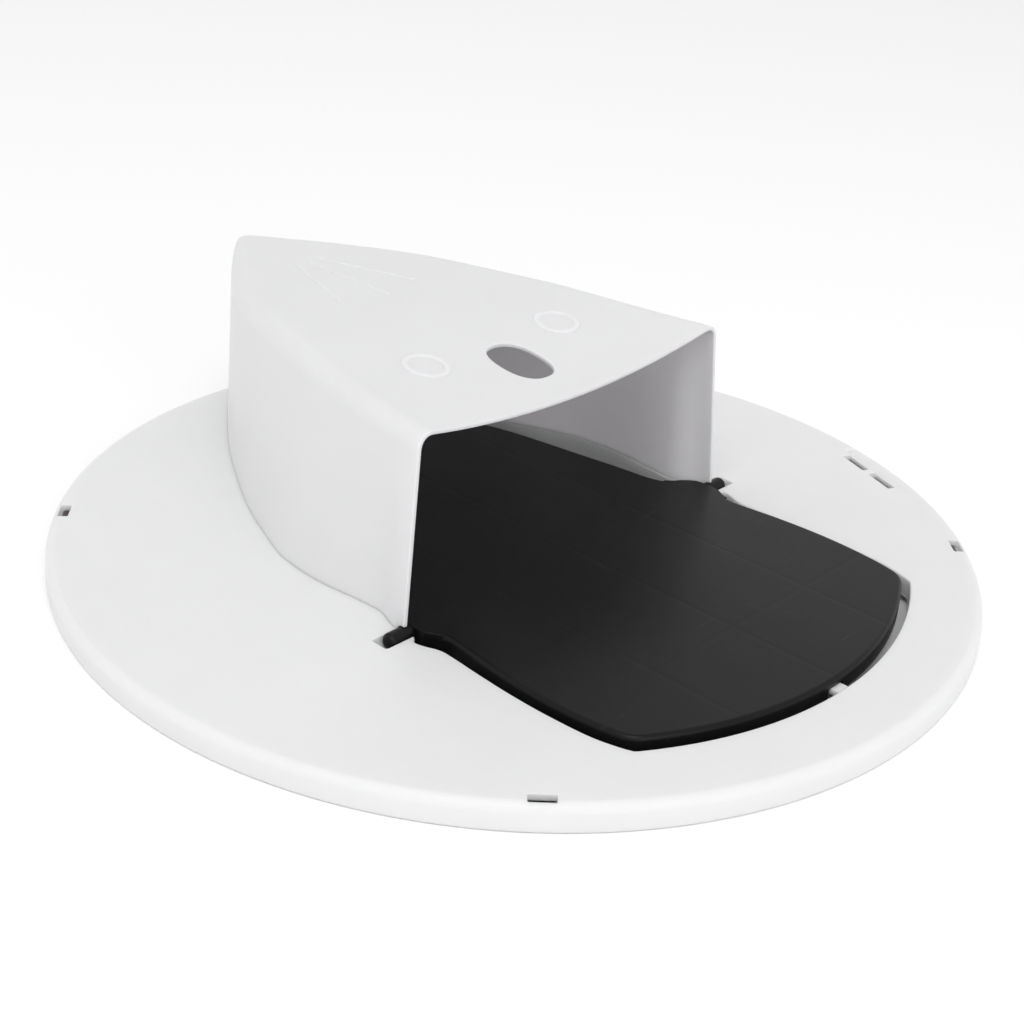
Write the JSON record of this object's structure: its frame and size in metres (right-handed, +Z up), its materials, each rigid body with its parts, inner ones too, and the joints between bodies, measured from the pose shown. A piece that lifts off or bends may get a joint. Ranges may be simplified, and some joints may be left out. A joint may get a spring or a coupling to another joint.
{
  "type": "flip-lid pail mouse trap",
  "caption": "Round white pail lid with a pointed hood over a black see-saw flap that tips whatever walks onto its rear half into the pail below.",
  "frame": {"origin": "centre of the circle that the lid's turned-down edge stands on", "axes": "+Z up; +Y towards the hood's nose; +X to the right seen from the hood's open mouth looking in, and parallel to the flap's hinge line"},
  "size_m": [0.316, 0.316, 0.0745],
  "materials": {
    "white_polypropylene_lid": "satin moulded, faint flow and scuff marks",
    "white_polypropylene_hood": "satin moulded",
    "black_polypropylene_flap": "satin moulded, fine scuffs"
  },
  "bodies": {
    "lid": {"lid": "white_polypropylene_lid", "hood": "white_polypropylene_hood"},
    "flap": {"flap": "black_polypropylene_flap"}
  },
  "joints": [
    {"name": "flap_tip", "type": "hinge", "parent": "lid", "child": "flap", "pos_m": [0, -0.024, 0.0082], "axis": [-1, 0, 0], "range_deg": [0, 85]}
  ]
}
